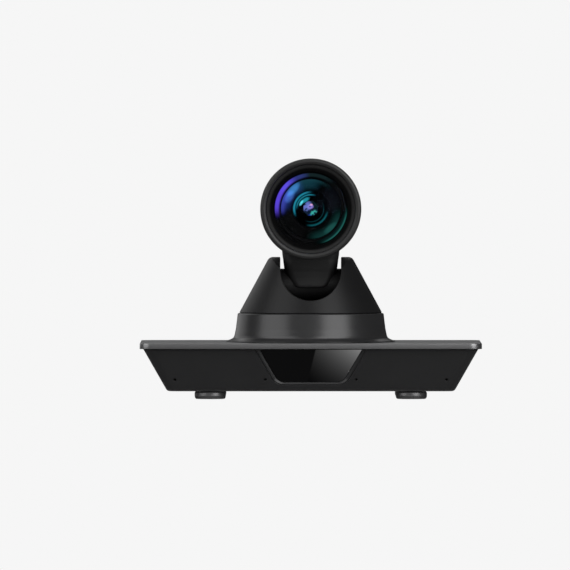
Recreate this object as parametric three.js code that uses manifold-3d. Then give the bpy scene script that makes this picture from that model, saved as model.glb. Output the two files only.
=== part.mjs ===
// Pan-tilt-zoom conference camera on a wide trapezoid base.
// Units are millimetres. +Z is up, the lens looks along -Y, and the origin is on the
// table surface, under the middle of the base: the pan axis is the Z axis.
import * as THREE from "three";
import { mergeVertices } from "three/addons/utils/BufferGeometryUtils.js";
import Module from "manifold-3d";

const wasm = await Module();
wasm.setup();

// ---------------------------------------------------------------- driving dimensions
const GAP = 0.3; // space left between touching pieces

const PLATE_W = 240, PLATE_D = 144, PLATE_T = 4, PLATE_R = 8.5;
const PLATE_Z0 = 35.4, PLATE_Z1 = PLATE_Z0 + PLATE_T;

const BODY_Z0 = 5.6, BODY_Z1 = 35.1; // lower housing, narrower at the bottom
const BODY_BOT = [100.7, 59.0], BODY_TOP = [117.4, 69.4]; // half width, half depth
const BODY_WALL = 2.5;
const FACE_TILT = Math.atan((BODY_TOP[1] - BODY_BOT[1]) / (BODY_Z1 - BODY_Z0));

const FOOT_R = 11, FOOT_X = 70.6, FOOT_Y = 44, FOOT_H = BODY_Z0 - GAP;
const MIC_X = [-95.3, -31.9, 31.9, 95.3], MIC_Z = 13.9;

const COLLAR_TOP = 59.6;
const YOKE_Z0 = 60.2, YOKE_Z1 = 99.2, YOKE_R0 = 50.2, YOKE_R1 = 28.95;
const YOKE_WALL = 2.5;
const SLOT = 21.4; // half width of the fork slot
const SLOT_Z = 90.2; // centre of the half-round slot bottom

const TILT_Z = 80; // tilt axis height; it crosses the pan axis
const DRUM_R = 11, DRUM_X = 20.8;

const LENS_Z = 133.4; // optical axis height
const HEAD_R = 34.3, RING_R = 35.5;
const HEAD_FRONT = -52, BARREL_Y0 = -43.4, BARREL_Y1 = 12, HEAD_BACK = 42;

const PAN_MOTOR_X = -32, PAN_BIG = 20, PAN_SMALL = 5; // pulley radii, ratio 4
const TILT_MOTOR = [24.8, 69.5], TILT_BIG = 8, TILT_SMALL = 3.2; // ratio 2.5
const REAR_PANEL_Y = 54.3, PANEL_T = 1.6, SOCKET_Y = 56.6;

// ---------------------------------------------------------------- geometry helpers
const root = new THREE.Group();

function solid(geometry) {
  const g = geometry.index ? geometry.toNonIndexed() : geometry.clone();
  const bare = new THREE.BufferGeometry().setAttribute("position", g.getAttribute("position"));
  const merged = mergeVertices(bare, 1e-3);
  const index = merged.index.array, kept = [];
  for (let i = 0; i < index.length; i += 3) {
    const [a, b, c] = [index[i], index[i + 1], index[i + 2]];
    if (a !== b && b !== c && a !== c) kept.push(a, b, c);
  }
  const make = (t) => new wasm.Manifold(new wasm.Mesh({ numProp: 3, vertProperties: merged.attributes.position.array, triVerts: new Uint32Array(t) }));
  const made = make(kept);
  if (made.volume() > 0) return made;
  for (let i = 0; i < kept.length; i += 3) [kept[i + 1], kept[i + 2]] = [kept[i + 2], kept[i + 1]];
  return make(kept);
}

function geometryOf(manifold) {
  const m = manifold.getMesh(), n = m.numProp, v = new Float32Array(m.numVert * 3);
  for (let i = 0; i < m.numVert; i++) v.set(m.vertProperties.subarray(i * n, i * n + 3), i * 3);
  const g = new THREE.BufferGeometry().setAttribute("position", new THREE.BufferAttribute(v, 3));
  g.setIndex(new THREE.BufferAttribute(m.triVerts, 1));
  g.computeVertexNormals();
  return g;
}

const join = (...s) => s.reduce((a, b) => a.add(b));
const cut = (a, ...s) => s.reduce((x, y) => x.subtract(y), a);

function box(x0, x1, y0, y1, z0, z1) {
  const g = new THREE.BoxGeometry(x1 - x0, y1 - y0, z1 - z0);
  g.translate((x0 + x1) / 2, (y0 + y1) / 2, (z0 + z1) / 2);
  return solid(g);
}

// profile: [radius, height] pairs; a loop that doesn't touch the axis is closed
function spin(profile, axis, seg, at = [0, 0, 0]) {
  const pts = profile.map(([r, h]) => new THREE.Vector2(r, h));
  const onAxis = profile[0][0] === 0 && profile[profile.length - 1][0] === 0;
  if (!onAxis) pts.push(pts[0].clone());
  const g = new THREE.LatheGeometry(pts, seg);
  if (axis === "z") g.rotateX(Math.PI / 2);
  if (axis === "x") g.rotateZ(-Math.PI / 2);
  g.translate(...at);
  return solid(g);
}
const rod = (axis, r, h0, h1, seg, at) => spin([[0, h0], [r, h0], [r, h1], [0, h1]], axis, seg, at);

function extrude(shape, depth, basis, at) {
  const g = new THREE.ExtrudeGeometry(shape, { depth, bevelEnabled: false, curveSegments: 10 });
  g.applyMatrix4(basis);
  g.translate(...at);
  return solid(g);
}
const V = (x, y, z) => new THREE.Vector3(x, y, z);
const ALONG_Y = new THREE.Matrix4().makeBasis(V(1, 0, 0), V(0, 0, 1), V(0, -1, 0)); // shape (x, z)
const ALONG_X = new THREE.Matrix4().makeBasis(V(0, 1, 0), V(0, 0, 1), V(1, 0, 0)); // shape (y, z)
const alongY = (shape, y0, y1) => extrude(shape, y1 - y0, ALONG_Y, [0, y1, 0]);
const alongX = (shape, x0, x1) => extrude(shape, x1 - x0, ALONG_X, [x0, 0, 0]);
const alongZ = (shape, z0, z1) => extrude(shape, z1 - z0, new THREE.Matrix4(), [0, 0, z0]);
const poly = (pts) => new THREE.Shape(pts.map(([x, y]) => new THREE.Vector2(x, y)));

// rounded rectangles stacked at heights z and joined by straight walls
function stack(levels, seg = 5) {
  const ring = ({ z, hx, hy, r, cy = 0 }) => {
    const p = [];
    for (const [sx, sy, a0] of [[1, 1, 0], [-1, 1, 90], [-1, -1, 180], [1, -1, 270]])
      for (let i = 0; i <= seg; i++) {
        const a = THREE.MathUtils.degToRad(a0 + (90 * i) / seg);
        p.push(V(sx * (hx - r) + r * Math.cos(a), cy + sy * (hy - r) + r * Math.sin(a), z));
      }
    return p;
  };
  const rings = levels.map(ring), n = rings[0].length, tri = [];
  const face = (a, b, c) => tri.push(a, b, c);
  for (let k = 0; k + 1 < rings.length; k++)
    for (let i = 0; i < n; i++) {
      const j = (i + 1) % n, [a, b, c, d] = [rings[k][i], rings[k][j], rings[k + 1][j], rings[k + 1][i]];
      face(a, b, c);
      face(a, c, d);
    }
  const bottom = rings[0], top = rings[rings.length - 1];
  for (let i = 1; i + 1 < n; i++) {
    face(bottom[0], bottom[i + 1], bottom[i]);
    face(top[0], top[i], top[i + 1]);
  }
  return solid(new THREE.BufferGeometry().setFromPoints(tri));
}

// a flat belt loop round two pulleys, as a shape; p and q are centres with radii a and b
function beltShape(p, a, q, b, inner, thick) {
  const loop = (extra) => {
    const dx = q[0] - p[0], dy = q[1] - p[1], d = Math.hypot(dx, dy), base = Math.atan2(dy, dx);
    const ra = a + extra, rb = b + extra, lean = Math.acos((ra - rb) / d), pts = [];
    for (let i = 0; i <= 18; i++) {
      const t = base + lean + ((2 * Math.PI - 2 * lean) * i) / 18;
      pts.push([p[0] + ra * Math.cos(t), p[1] + ra * Math.sin(t)]);
    }
    for (let i = 0; i <= 10; i++) {
      const t = base - lean + (2 * lean * i) / 10;
      pts.push([q[0] + rb * Math.cos(t), q[1] + rb * Math.sin(t)]);
    }
    return pts;
  };
  const shape = poly(loop(inner + thick));
  shape.holes.push(new THREE.Path(loop(inner).map(([x, y]) => new THREE.Vector2(x, y))));
  return shape;
}

const M = {
  body: { color: 0x1d1d1e, roughness: 0.55, metalness: 0 },
  plate: { color: 0x4a4b4d, roughness: 0.35, metalness: 0.8 },
  collar: { color: 0x3a3a3c, roughness: 0.3, metalness: 0.4 },
  yoke: { color: 0x252526, roughness: 0.45, metalness: 0 },
  head: { color: 0x222223, roughness: 0.5, metalness: 0 },
  gloss: { color: 0x060607, roughness: 0.05, metalness: 0 },
  rubber: { color: 0x2a2a2b, roughness: 0.6, metalness: 0 },
  glass: { color: 0x1a3040, roughness: 0.02, metalness: 0 },
  steel: { color: 0xa8abae, roughness: 0.3, metalness: 1 },
  brass: { color: 0xb08d4a, roughness: 0.3, metalness: 1 },
  board: { color: 0x14502e, roughness: 0.5, metalness: 0 },
  black: { color: 0x0d0d0e, roughness: 0.5, metalness: 0 },
  belt: { color: 0x151515, roughness: 0.8, metalness: 0 },
  green: { color: 0x1f7a3c, roughness: 0.5, metalness: 0 },
};
function add(name, manifold, look, parent = root) {
  const mesh = new THREE.Mesh(geometryOf(manifold), new THREE.MeshStandardMaterial(M[look]));
  mesh.name = name;
  parent.add(mesh);
}

// ---------------------------------------------------------------- base
const lerp = (a, b, t) => a + (b - a) * t;
function bodyLevel(z, inset, r) {
  const t = (z - BODY_Z0) / (BODY_Z1 - BODY_Z0);
  return { z, hx: lerp(BODY_BOT[0], BODY_TOP[0], t) - inset, hy: lerp(BODY_BOT[1], BODY_TOP[1], t) - inset, r };
}
const bodyOuter = stack([bodyLevel(BODY_Z0, 1.8, 5), bodyLevel(BODY_Z0 + 0.6, 0.5, 6), bodyLevel(BODY_Z0 + 2, 0, 6.5), bodyLevel(BODY_Z1, 0, 8)]);
const bodyInner = stack([bodyLevel(BODY_Z0 + 2.6, BODY_WALL + 0.2, 3.5), bodyLevel(BODY_Z1 + 1, BODY_WALL + 0.2, 5)]);

// trapezoid window in the tilted front face, drawn on the face: x across, z up the slope
const FACE_L = (BODY_Z1 - BODY_Z0) / Math.cos(FACE_TILT);
function windowShape(top, bottom, low, radius, high = FACE_L + 4) {
  const s = new THREE.Shape(), slope = (top - bottom) / (FACE_L - low);
  const xTop = bottom + slope * (high - low), len = Math.hypot(slope, 1);
  const sx = (slope / len) * radius, sz = (1 / len) * radius; // the round corner's start on the slanted side
  s.moveTo(-xTop, high);
  s.lineTo(-(bottom + sx), low + sz);
  s.quadraticCurveTo(-bottom, low, -(bottom - radius), low);
  s.lineTo(bottom - radius, low);
  s.quadraticCurveTo(bottom, low, bottom + sx, low + sz);
  s.lineTo(xTop, high);
  s.closePath();
  return s;
}
const onFace = (m) => m.rotate([THREE.MathUtils.radToDeg(FACE_TILT), 0, 0]).translate([0, -BODY_BOT[1], BODY_Z0]);
const belowPlate = box(-130, 130, -90, 90, -5, BODY_Z1);

const windowCut = onFace(alongY(windowShape(38.3, 23.7, 4.9, 6), -3, 8));
let housing = cut(bodyOuter, bodyInner);
housing = join(housing, box(-92.5, 92.5, 56.2, 90, BODY_Z0, BODY_Z1).intersect(bodyOuter)); // rear connector bay surround
housing = cut(
  housing,
  windowCut,
  box(-90, 90, 50, 90, 10.4, 40), // bay mouth
  rod("z", 8.3, 0, 12, 24), // tripod insert
  rod("z", 4.4, 0, 12, 16, [45, -25, 0]), // address switch
  ...MIC_X.map((x) => rod("y", 0.7, -80, -40, 8, [x, 0, MIC_Z])),
  ...[[-88, -46], [88, -46], [-88, 42], [88, 42]].map(([x, y]) => rod("z", 3, 0, 12, 12, [x, y, 0])),
);
add("base_housing", housing, "body");

add(
  "top_plate",
  cut(
    stack([
      { z: PLATE_Z0, hx: PLATE_W / 2 - 0.6, hy: PLATE_D / 2 - 0.6, r: PLATE_R - 0.6 },
      { z: PLATE_Z0 + 0.6, hx: PLATE_W / 2, hy: PLATE_D / 2, r: PLATE_R },
      { z: PLATE_Z1 - 0.6, hx: PLATE_W / 2, hy: PLATE_D / 2, r: PLATE_R },
      { z: PLATE_Z1, hx: PLATE_W / 2 - 0.6, hy: PLATE_D / 2 - 0.6, r: PLATE_R - 0.6 },
    ]),
    rod("z", 8, 30, 45, 20),
    rod("z", 11.6, 30, 45, 24, [PAN_MOTOR_X, 0, 0]),
  ),
  "plate",
);

const bezelBlank = onFace(alongY(windowShape(38.0, 23.4, 5.2, 5.8), 0, 2.4));
const windowHole = onFace(alongY(windowShape(35.1, 21.6, 6.5, 5), -3, 8));
add("ir_window_bezel", cut(bezelBlank, windowHole).intersect(box(-130, 130, -90, 90, -5, BODY_Z1 - 0.1)), "body");
add("ir_window", onFace(alongY(windowShape(34.8, 21.3, 6.8, 4.8), 0.6, 2.4)).intersect(box(-130, 130, -90, 90, -5, BODY_Z1 - 0.1)), "gloss");
add("ir_receiver", onFace(box(8, 16, 3.2, 9, 14, 22)), "black");
add("status_led", onFace(rod("y", 1.5, 3.2, 8, 10, [-12, 0, 18])), "green");
add("mic_board", onFace(join(box(-99, 99, 3.4, 4.6, 6.4, 11.4), ...MIC_X.map((x) => box(x - 2, x + 2, 4.5, 5.8, 7.2, 10.6)))), "board");

[[-1, -1], [1, -1], [-1, 1], [1, 1]].forEach(([sx, sy], i) =>
  add(`foot_${i + 1}`, spin([[0, 0], [9.3, 0], [10.4, 0.6], [FOOT_R, 1.7], [FOOT_R, FOOT_H], [0, FOOT_H]], "z", 24, [sx * FOOT_X, sy * FOOT_Y, 0]), "rubber"),
);
add("tripod_insert", spin([[0, 14.5], [3.2, 14.5], [3.2, 5.6], [8, 5.6], [8, 8.6], [11, 8.6], [11, 11], [7, 11], [7, 15.8], [0, 15.8]], "z", 20), "brass");
add(
  "main_board",
  cut(box(-84, 84, -44, 53.6, 12, 13.6), rod("z", 12, 10, 16, 20)),
  "board",
);
add("address_switch", cut(box(40, 50, -30, -20, 8.7, 11.7), rod("z", 1.9, 8, 10.8, 10, [45, -25, 0])), "black");
add("address_dial", cut(spin([[0, 6], [4, 6], [4, 8.1], [1.5, 8.1], [1.5, 10.4], [0, 10.4]], "z", 16, [45, -25, 0]), box(44.4, 45.6, -28, -22, 5, 6.7)), "steel");

// rear connector panel and its sockets, left to right as seen from the front
const PORT_X = { terminal_block: -76, audio_jack: -58, serial_port: -42, usb_port: -23, hdmi_port: -3, lan_port: 19, dc_jack: 41, power: 66 };
const P = PORT_X;
const portBox = (x, hx, z0, z1, grow = 0, y0 = 40, y1 = SOCKET_Y) => box(x - hx - grow, x + hx + grow, y0, y1, z0 - grow, z1 + grow);
const outline = {
  terminal_block: [9, 14, 23], audio_jack: [4.2, 15, 24], serial_port: [7.2, 14, 28], usb_port: [7, 14.4, 21.6],
  hdmi_port: [7.9, 14.8, 21], lan_port: [8, 13.9, 27.6], dc_jack: [5.6, 14.2, 26], power: [6.5, 14.2, 30.6],
};
let panel = box(-92.2, 92.2, REAR_PANEL_Y, REAR_PANEL_Y + PANEL_T, 8.6, 34.9);
for (const [name, [hx, z0, z1]] of Object.entries(outline)) panel = cut(panel, portBox(P[name], hx, z0, z1, 0.35, 50, 60));
add("rear_panel", panel, "black");
const port = (name, y0) => portBox(P[name], ...outline[name], 0, y0);
add("lan_port", cut(port("lan_port", 41), box(P.lan_port - 5.9, P.lan_port + 5.9, 44, 60, 15.8, 22.9), box(P.lan_port - 2.2, P.lan_port + 2.2, 44, 60, 22, 25.4)), "steel");
add("hdmi_port", join(cut(port("hdmi_port", 44), box(P.hdmi_port - 7.1, P.hdmi_port + 7.1, 47, 60, 15.6, 20.2)), box(P.hdmi_port - 5.6, P.hdmi_port + 5.6, 46, 55.6, 17.3, 18.6)), "steel");
add("usb_port", join(cut(port("usb_port", 42), box(P.usb_port - 6.2, P.usb_port + 6.2, 46, 60, 15.2, 20.8)), box(P.usb_port - 5.3, P.usb_port + 5.3, 45, 55.6, 18.3, 20)), "steel");
add("serial_port", cut(port("serial_port", 46), rod("y", 4.6, 51, 60, 20, [P.serial_port, 0, 21])), "black");
add("audio_jack", join(cut(port("audio_jack", 44), rod("y", 1.8, 46, 60, 12, [P.audio_jack, 0, 19.5]))), "black");
add("dc_jack", join(cut(port("dc_jack", 44), rod("y", 3.2, 47, 60, 16, [P.dc_jack, 0, 20])), rod("y", 1.1, 46, 56, 10, [P.dc_jack, 0, 20])), "black");
add("terminal_block", cut(port("terminal_block", 46), ...[-6, -2, 2, 6].map((d) => box(P.terminal_block + d - 1.4, P.terminal_block + d + 1.4, 53, 60, 16, 19.4))), "green");
const ROCK = { y: 53, z: 22.4 };
add("switch_frame", cut(port("power", 46), box(P.power - 5, P.power + 5, 48, 60, ROCK.z - 7.3, ROCK.z + 7.3)), "black");
{
  const a = THREE.MathUtils.degToRad(-8), c = Math.cos(a), s = Math.sin(a);
  const pts = [[3.3, -6.4], [2.2, 0], [3.3, 6.4], [-2.4, 5.6], [-2.4, -5.6]].map(([v, u]) => [ROCK.y + v * c - u * s, ROCK.z + v * s + u * c]);
  add("power_rocker", alongX(poly(pts.reverse()), P.power - 4.6, P.power + 4.6), "black");
}

// ---------------------------------------------------------------- pan drive
add("pan_collar", spin([[59.6, 39.7], [59.6, 40.2], [57.2, 41.0], [54.9, 41.9], [54.0, 43], [52.9, 47.5], [52.2, 54.5], [51.5, 58.4], [50.8, COLLAR_TOP], [47.2, COLLAR_TOP], [47.2, 56.6], [50, 50], [50, 39.7]], "z", 60), "collar");
add("pan_post", spin([[7, 39.7], [17, 39.7], [17, 42.2], [10, 42.2], [10, 56.5], [7, 56.5]], "z", 24), "steel");
add("pan_bearing_lower", spin([[10.3, 43.4], [14.8, 43.4], [14.8, 48.4], [10.3, 48.4]], "z", 20), "steel");
add("pan_bearing_upper", spin([[10.3, 51.4], [14.8, 51.4], [14.8, 56.4], [10.3, 56.4]], "z", 20), "steel");
{
  const h = 17.5, k = 4.5, sq = poly([[-h + k, -h], [h - k, -h], [h, -h + k], [h, h - k], [h - k, h], [-h + k, h], [-h, h - k], [-h, -h + k]]);
  const body = alongZ(sq, 14.6, 34.6).translate([PAN_MOTOR_X, 0, 0]);
  add("pan_motor", cut(join(body, rod("z", 11, 30, 37.4, 24, [PAN_MOTOR_X, 0, 0])), rod("z", 2.9, 24, 40, 14, [PAN_MOTOR_X, 0, 0])), "steel");
}
add("pan_motor_pulley", spin([[0, 25], [2.5, 25], [2.5, 43.2], [6.4, 43.2], [6.4, 44.2], [PAN_SMALL, 44.2], [PAN_SMALL, 51], [6.4, 51], [6.4, 52], [0, 52]], "z", 16, [PAN_MOTOR_X, 0, 0]), "brass");
add("pan_belt", alongZ(beltShape([0, 0], PAN_BIG, [PAN_MOTOR_X, 0], PAN_SMALL, 0.45, 1.1), 44.8, 50.4), "belt");
add("pan_pulley", spin([[15.1, 43.2], [21.8, 43.2], [21.8, 44.2], [PAN_BIG, 44.2], [PAN_BIG, 51], [21.8, 51], [21.8, 52], [18, 52], [18, 56.9], [15.1, 56.9]], "z", 30), "black");

// ---------------------------------------------------------------- yoke
const coneR = (z) => YOKE_R0 + ((YOKE_R1 - YOKE_R0) * (z - YOKE_Z0)) / (YOKE_Z1 - YOKE_Z0);
add("turntable", spin([[8.5, 57.2], [46.4, 57.2], [46.4, 59.9], [8.5, 59.9]], "z", 40), "steel");
{
  const outer = spin([[0, YOKE_Z0], [YOKE_R0 - 0.7, YOKE_Z0], [coneR(YOKE_Z0 + 0.8), YOKE_Z0 + 0.8], [coneR(96.8), 96.8], [coneR(98.4) - 0.5, 98.4], [YOKE_R1 - 1.6, YOKE_Z1], [0, YOKE_Z1]], "z", 72);
  // the arm tops fall away to the front and back along a shallow arc
  const crown = new THREE.Shape(), R = 45, c = YOKE_Z1 - R;
  crown.moveTo(60, 50);
  for (let i = 0; i <= 16; i++) {
    const t = THREE.MathUtils.degToRad(38 + (104 * i) / 16);
    crown.lineTo(R * Math.cos(t) * 1.0, c + R * Math.sin(t));
  }
  crown.lineTo(-60, 50);
  const edge = R * Math.cos(THREE.MathUtils.degToRad(38)), edgeZ = c + R * Math.sin(THREE.MathUtils.degToRad(38));
  const crownSolid = join(alongX(crown, -70, 70), box(-70, 70, edge - 1, 70, 50, edgeZ), box(-70, 70, -70, -edge + 1, 50, edgeZ));
  const inner = spin([[0, 50], [coneR(50) - YOKE_WALL, 50], [coneR(96) - YOKE_WALL, 96], [0, 96]], "z", 72).intersect(alongX(crown, -70, 70).translate([0, 0, -3]).add(box(-70, 70, -70, 70, 40, edgeZ - 3)));
  const channel = join(box(-23.6, 23.6, -70, 16.8, 66.2, 110), box(-23.6, 23.6, 10, 70, 80.6, 110));
  const u = new THREE.Shape();
  u.moveTo(-SLOT, 120);
  u.lineTo(-SLOT, SLOT_Z);
  u.absarc(0, SLOT_Z, SLOT, Math.PI, 2 * Math.PI, false);
  u.lineTo(SLOT, 120);
  u.closePath();
  const gU = new THREE.ExtrudeGeometry(u, { depth: 70, bevelEnabled: false, curveSegments: 28 });
  gU.applyMatrix4(ALONG_Y);
  const front = solid(gU);
  const well = box(-SLOT, SLOT, -12.2, 14.6, TILT_Z - 11.6, 120);
  const rear = box(-SLOT, SLOT, 10, 70, 82.8, 120);
  let shell = cut(outer.intersect(crownSolid), cut(inner, channel), front, well, rear);
  shell = cut(shell, rod("x", 3.6, -40, 40, 16, [0, 0, TILT_Z]).intersect(box(-24.5, 24.5, -10, 10, 60, 100)));
  add("yoke_shell", shell, "yoke");
}
const upL = poly([[-8.5, 60.5], [32, 60.5], [32, 70], [27, 76], [8.5, 80], [8.5, 86.5], [5, 89], [-5, 89], [-8.5, 86.5]]);
const upR = poly([[-8.5, 60.5], [8.5, 60.5], [8.5, 86.5], [5, 89], [-5, 89], [-8.5, 86.5]]);
const at80 = [0, 0, TILT_Z];
add("upright_left", cut(alongX(upL, -25.6, -24), rod("x", 5.3, -40, 0, 20, at80), rod("x", 2.4, -40, 0, 12, [0, TILT_MOTOR[0], TILT_MOTOR[1]])), "steel");
add("upright_right", cut(alongX(upR, 24, 25.6), rod("x", 5.3, 0, 40, 20, at80)), "steel");
const bearing = (x0, x1) => spin([[3.3, x0], [5, x0], [5, x1], [3.3, x1]], "x", 20, at80);
add("tilt_bearing_left", bearing(-26.2, -23.9), "steel");
add("tilt_bearing_right", bearing(23.9, 27), "steel");
const tm = [0, TILT_MOTOR[0], TILT_MOTOR[1]];
add("tilt_motor", cut(rod("x", 7.5, -23.6, -3.6, 24, tm), rod("x", 1.5, -30, -9, 10, tm)), "steel");
add("tilt_motor_pulley", spin([[0, -29.6], [TILT_SMALL, -29.6], [TILT_SMALL, -26.8], [1, -26.8], [1, -10], [0, -10]], "x", 16, tm), "brass");
add("tilt_belt", alongX(beltShape([0, TILT_Z], TILT_BIG, TILT_MOTOR, TILT_SMALL, 0.4, 1.0), -29.3, -27.1), "belt");

// ---------------------------------------------------------------- head
const lz = [0, 0, LENS_Z];
{
  const drum = spin([[0, -DRUM_X], [DRUM_R - 0.8, -DRUM_X], [DRUM_R, -DRUM_X + 0.8], [DRUM_R, DRUM_X - 0.8], [DRUM_R - 0.8, DRUM_X], [0, DRUM_X]], "x", 40, at80);
  const lv = (z, hx, yf, yr, r) => ({ z, hx, hy: (yr - yf) / 2, cy: (yr + yf) / 2, r });
  const neck = stack([
    lv(76, 9.4, -8, 8, 4), lv(78.2, 11.6, -10.8, 10, 5), lv(80.5, 13.6, -11.2, 10.4, 5.5), lv(84, 16.2, -11.7, 10.4, 6), lv(88.6, 18.1, -12.3, 10.5, 6.5),
    lv(92, 18.8, -12.8, 10.8, 7), lv(97, 19.4, -13.4, 11.6, 7.5), lv(101, 20.0, -14.4, 12.6, 8), lv(106, 20.4, -16, 14.4, 8), lv(112, 20.6, -18.5, 17, 8),
  ]);
  const duct = stack([lv(74, 8, -5.5, 5.5, 3), lv(120, 12, -8, 8, 3)]);
  add("neck_housing", cut(join(drum, neck), rod("y", HEAD_R + GAP, -60, 60, 56, lz), duct, rod("x", 3.3, -30, -14, 16, at80), rod("x", 3.3, 14, 30, 16, at80)), "head");
}
const tube = (ro, ri, y0, y1, seg) => spin([[ro, y0], [ro, y1], [ri, y1], [ri, y0]], "y", seg, lz);
add("head_barrel", cut(tube(HEAD_R, 32, BARREL_Y0, BARREL_Y1, 56), box(-9, 9, -6, 6, 90, 112)), "head");
{
  const dome = (r, y0, y1) => {
    const p = [];
    for (let i = 0; i <= 8; i++) {
      const t = (Math.PI / 2) * (i / 8), e = 2 / 2.25;
      p.push([i === 8 ? 0 : r * Math.cos(t) ** e, y0 + (y1 - y0) * Math.sin(t) ** e]);
    }
    return p;
  };
  const y0 = BARREL_Y1 + GAP, out = dome(HEAD_R, y0, HEAD_BACK), inn = dome(32, y0, HEAD_BACK - 2.3).reverse();
  add("head_rear_cover", spin([...inn, ...out], "y", 56, lz), "head");
}
add("lens_ring", spin([[RING_R, -43.7], [RING_R, -50], [34.9, -51.3], [33.6, HEAD_FRONT], [32.2, HEAD_FRONT], [31.3, -51.2], [31.3, -43.7]], "y", 56, lz), "head");
add("baffle_ring", spin([[31, -43.7], [31, -50.4], [26.3, -46.6], [26.3, -43.7]], "y", 48, lz), "black");
add("front_element", spin([[0, -50.4], [7, -50.1], [14, -49.1], [20, -47.5], [25.9, -45.3], [25.9, -44.2], [20, -45.3], [14, -46.2], [7, -46.9], [0, -47.1]], "y", 40, lz), "glass");
add("lens_barrel", spin([[31.6, -43.2], [31.6, -41], [27, -41], [27, 17], [24.3, 17], [24.3, -43.2]], "y", 36, lz), "black");
add("lens_retainer", tube(24, 21.4, -43, -36, 32), "black");
add("second_element", spin([[0, -41.6], [7, -41.2], [14, -40.1], [21, -38], [21, -36.8], [14, -38], [7, -38.7], [0, -39]], "y", 30, lz), "glass");
add("zoom_cell", tube(23.9, 12.9, -31, -21, 32), "black");
add("zoom_lens", spin([[0, -29.6], [6, -28.9], [12.6, -26.6], [12.6, -24.6], [6, -23.6], [0, -23.2]], "y", 24, lz), "glass");
add("iris_plate", cut(rod("y", 24, 0, 2, 32, lz), rod("y", 5.3, -5, 5, 8, lz)), "black");
add("focus_group", spin([[0, 6.6], [8, 7.4], [8, 5.6], [23.9, 5.6], [23.9, 10.6], [8, 10.6], [8, 10], [0, 10.4]], "y", 28, lz), "black");
add("sensor_board", join(box(-19, 19, 18.4, 20, LENS_Z - 19, LENS_Z + 19), box(-6, 6, 17.4, 18.6, LENS_Z - 4.5, LENS_Z + 4.5)), "board");
add("tilt_shaft_left", rod("x", 3, -30.2, -14.4, 20, at80), "steel");
add("tilt_shaft_right", rod("x", 3, 14.4, 28, 20, at80), "steel");
add("tilt_pulley", spin([[3.3, -29.8], [TILT_BIG, -29.8], [TILT_BIG, -26.6], [3.3, -26.6]], "x", 28, at80), "black");

export default root;
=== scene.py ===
import bpy, bmesh, math
from mathutils import Matrix, Vector


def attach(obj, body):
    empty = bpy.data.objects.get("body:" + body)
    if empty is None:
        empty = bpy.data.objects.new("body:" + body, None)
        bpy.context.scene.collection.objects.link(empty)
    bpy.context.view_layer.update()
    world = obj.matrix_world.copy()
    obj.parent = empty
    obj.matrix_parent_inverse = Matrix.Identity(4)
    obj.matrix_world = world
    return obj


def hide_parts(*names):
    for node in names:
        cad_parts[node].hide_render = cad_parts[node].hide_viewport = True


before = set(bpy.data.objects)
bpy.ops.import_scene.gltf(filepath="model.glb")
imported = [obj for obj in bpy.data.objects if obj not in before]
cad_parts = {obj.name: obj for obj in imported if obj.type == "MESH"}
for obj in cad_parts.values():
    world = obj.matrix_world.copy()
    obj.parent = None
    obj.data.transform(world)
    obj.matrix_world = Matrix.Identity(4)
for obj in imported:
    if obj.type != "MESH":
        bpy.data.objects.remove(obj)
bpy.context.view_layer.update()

MM = 0.001
LENS_Z, TILT_Z = 133.4, 80.0
rad, sin, cos, sqrt, pi = math.radians, math.sin, math.cos, math.sqrt, math.pi

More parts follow.
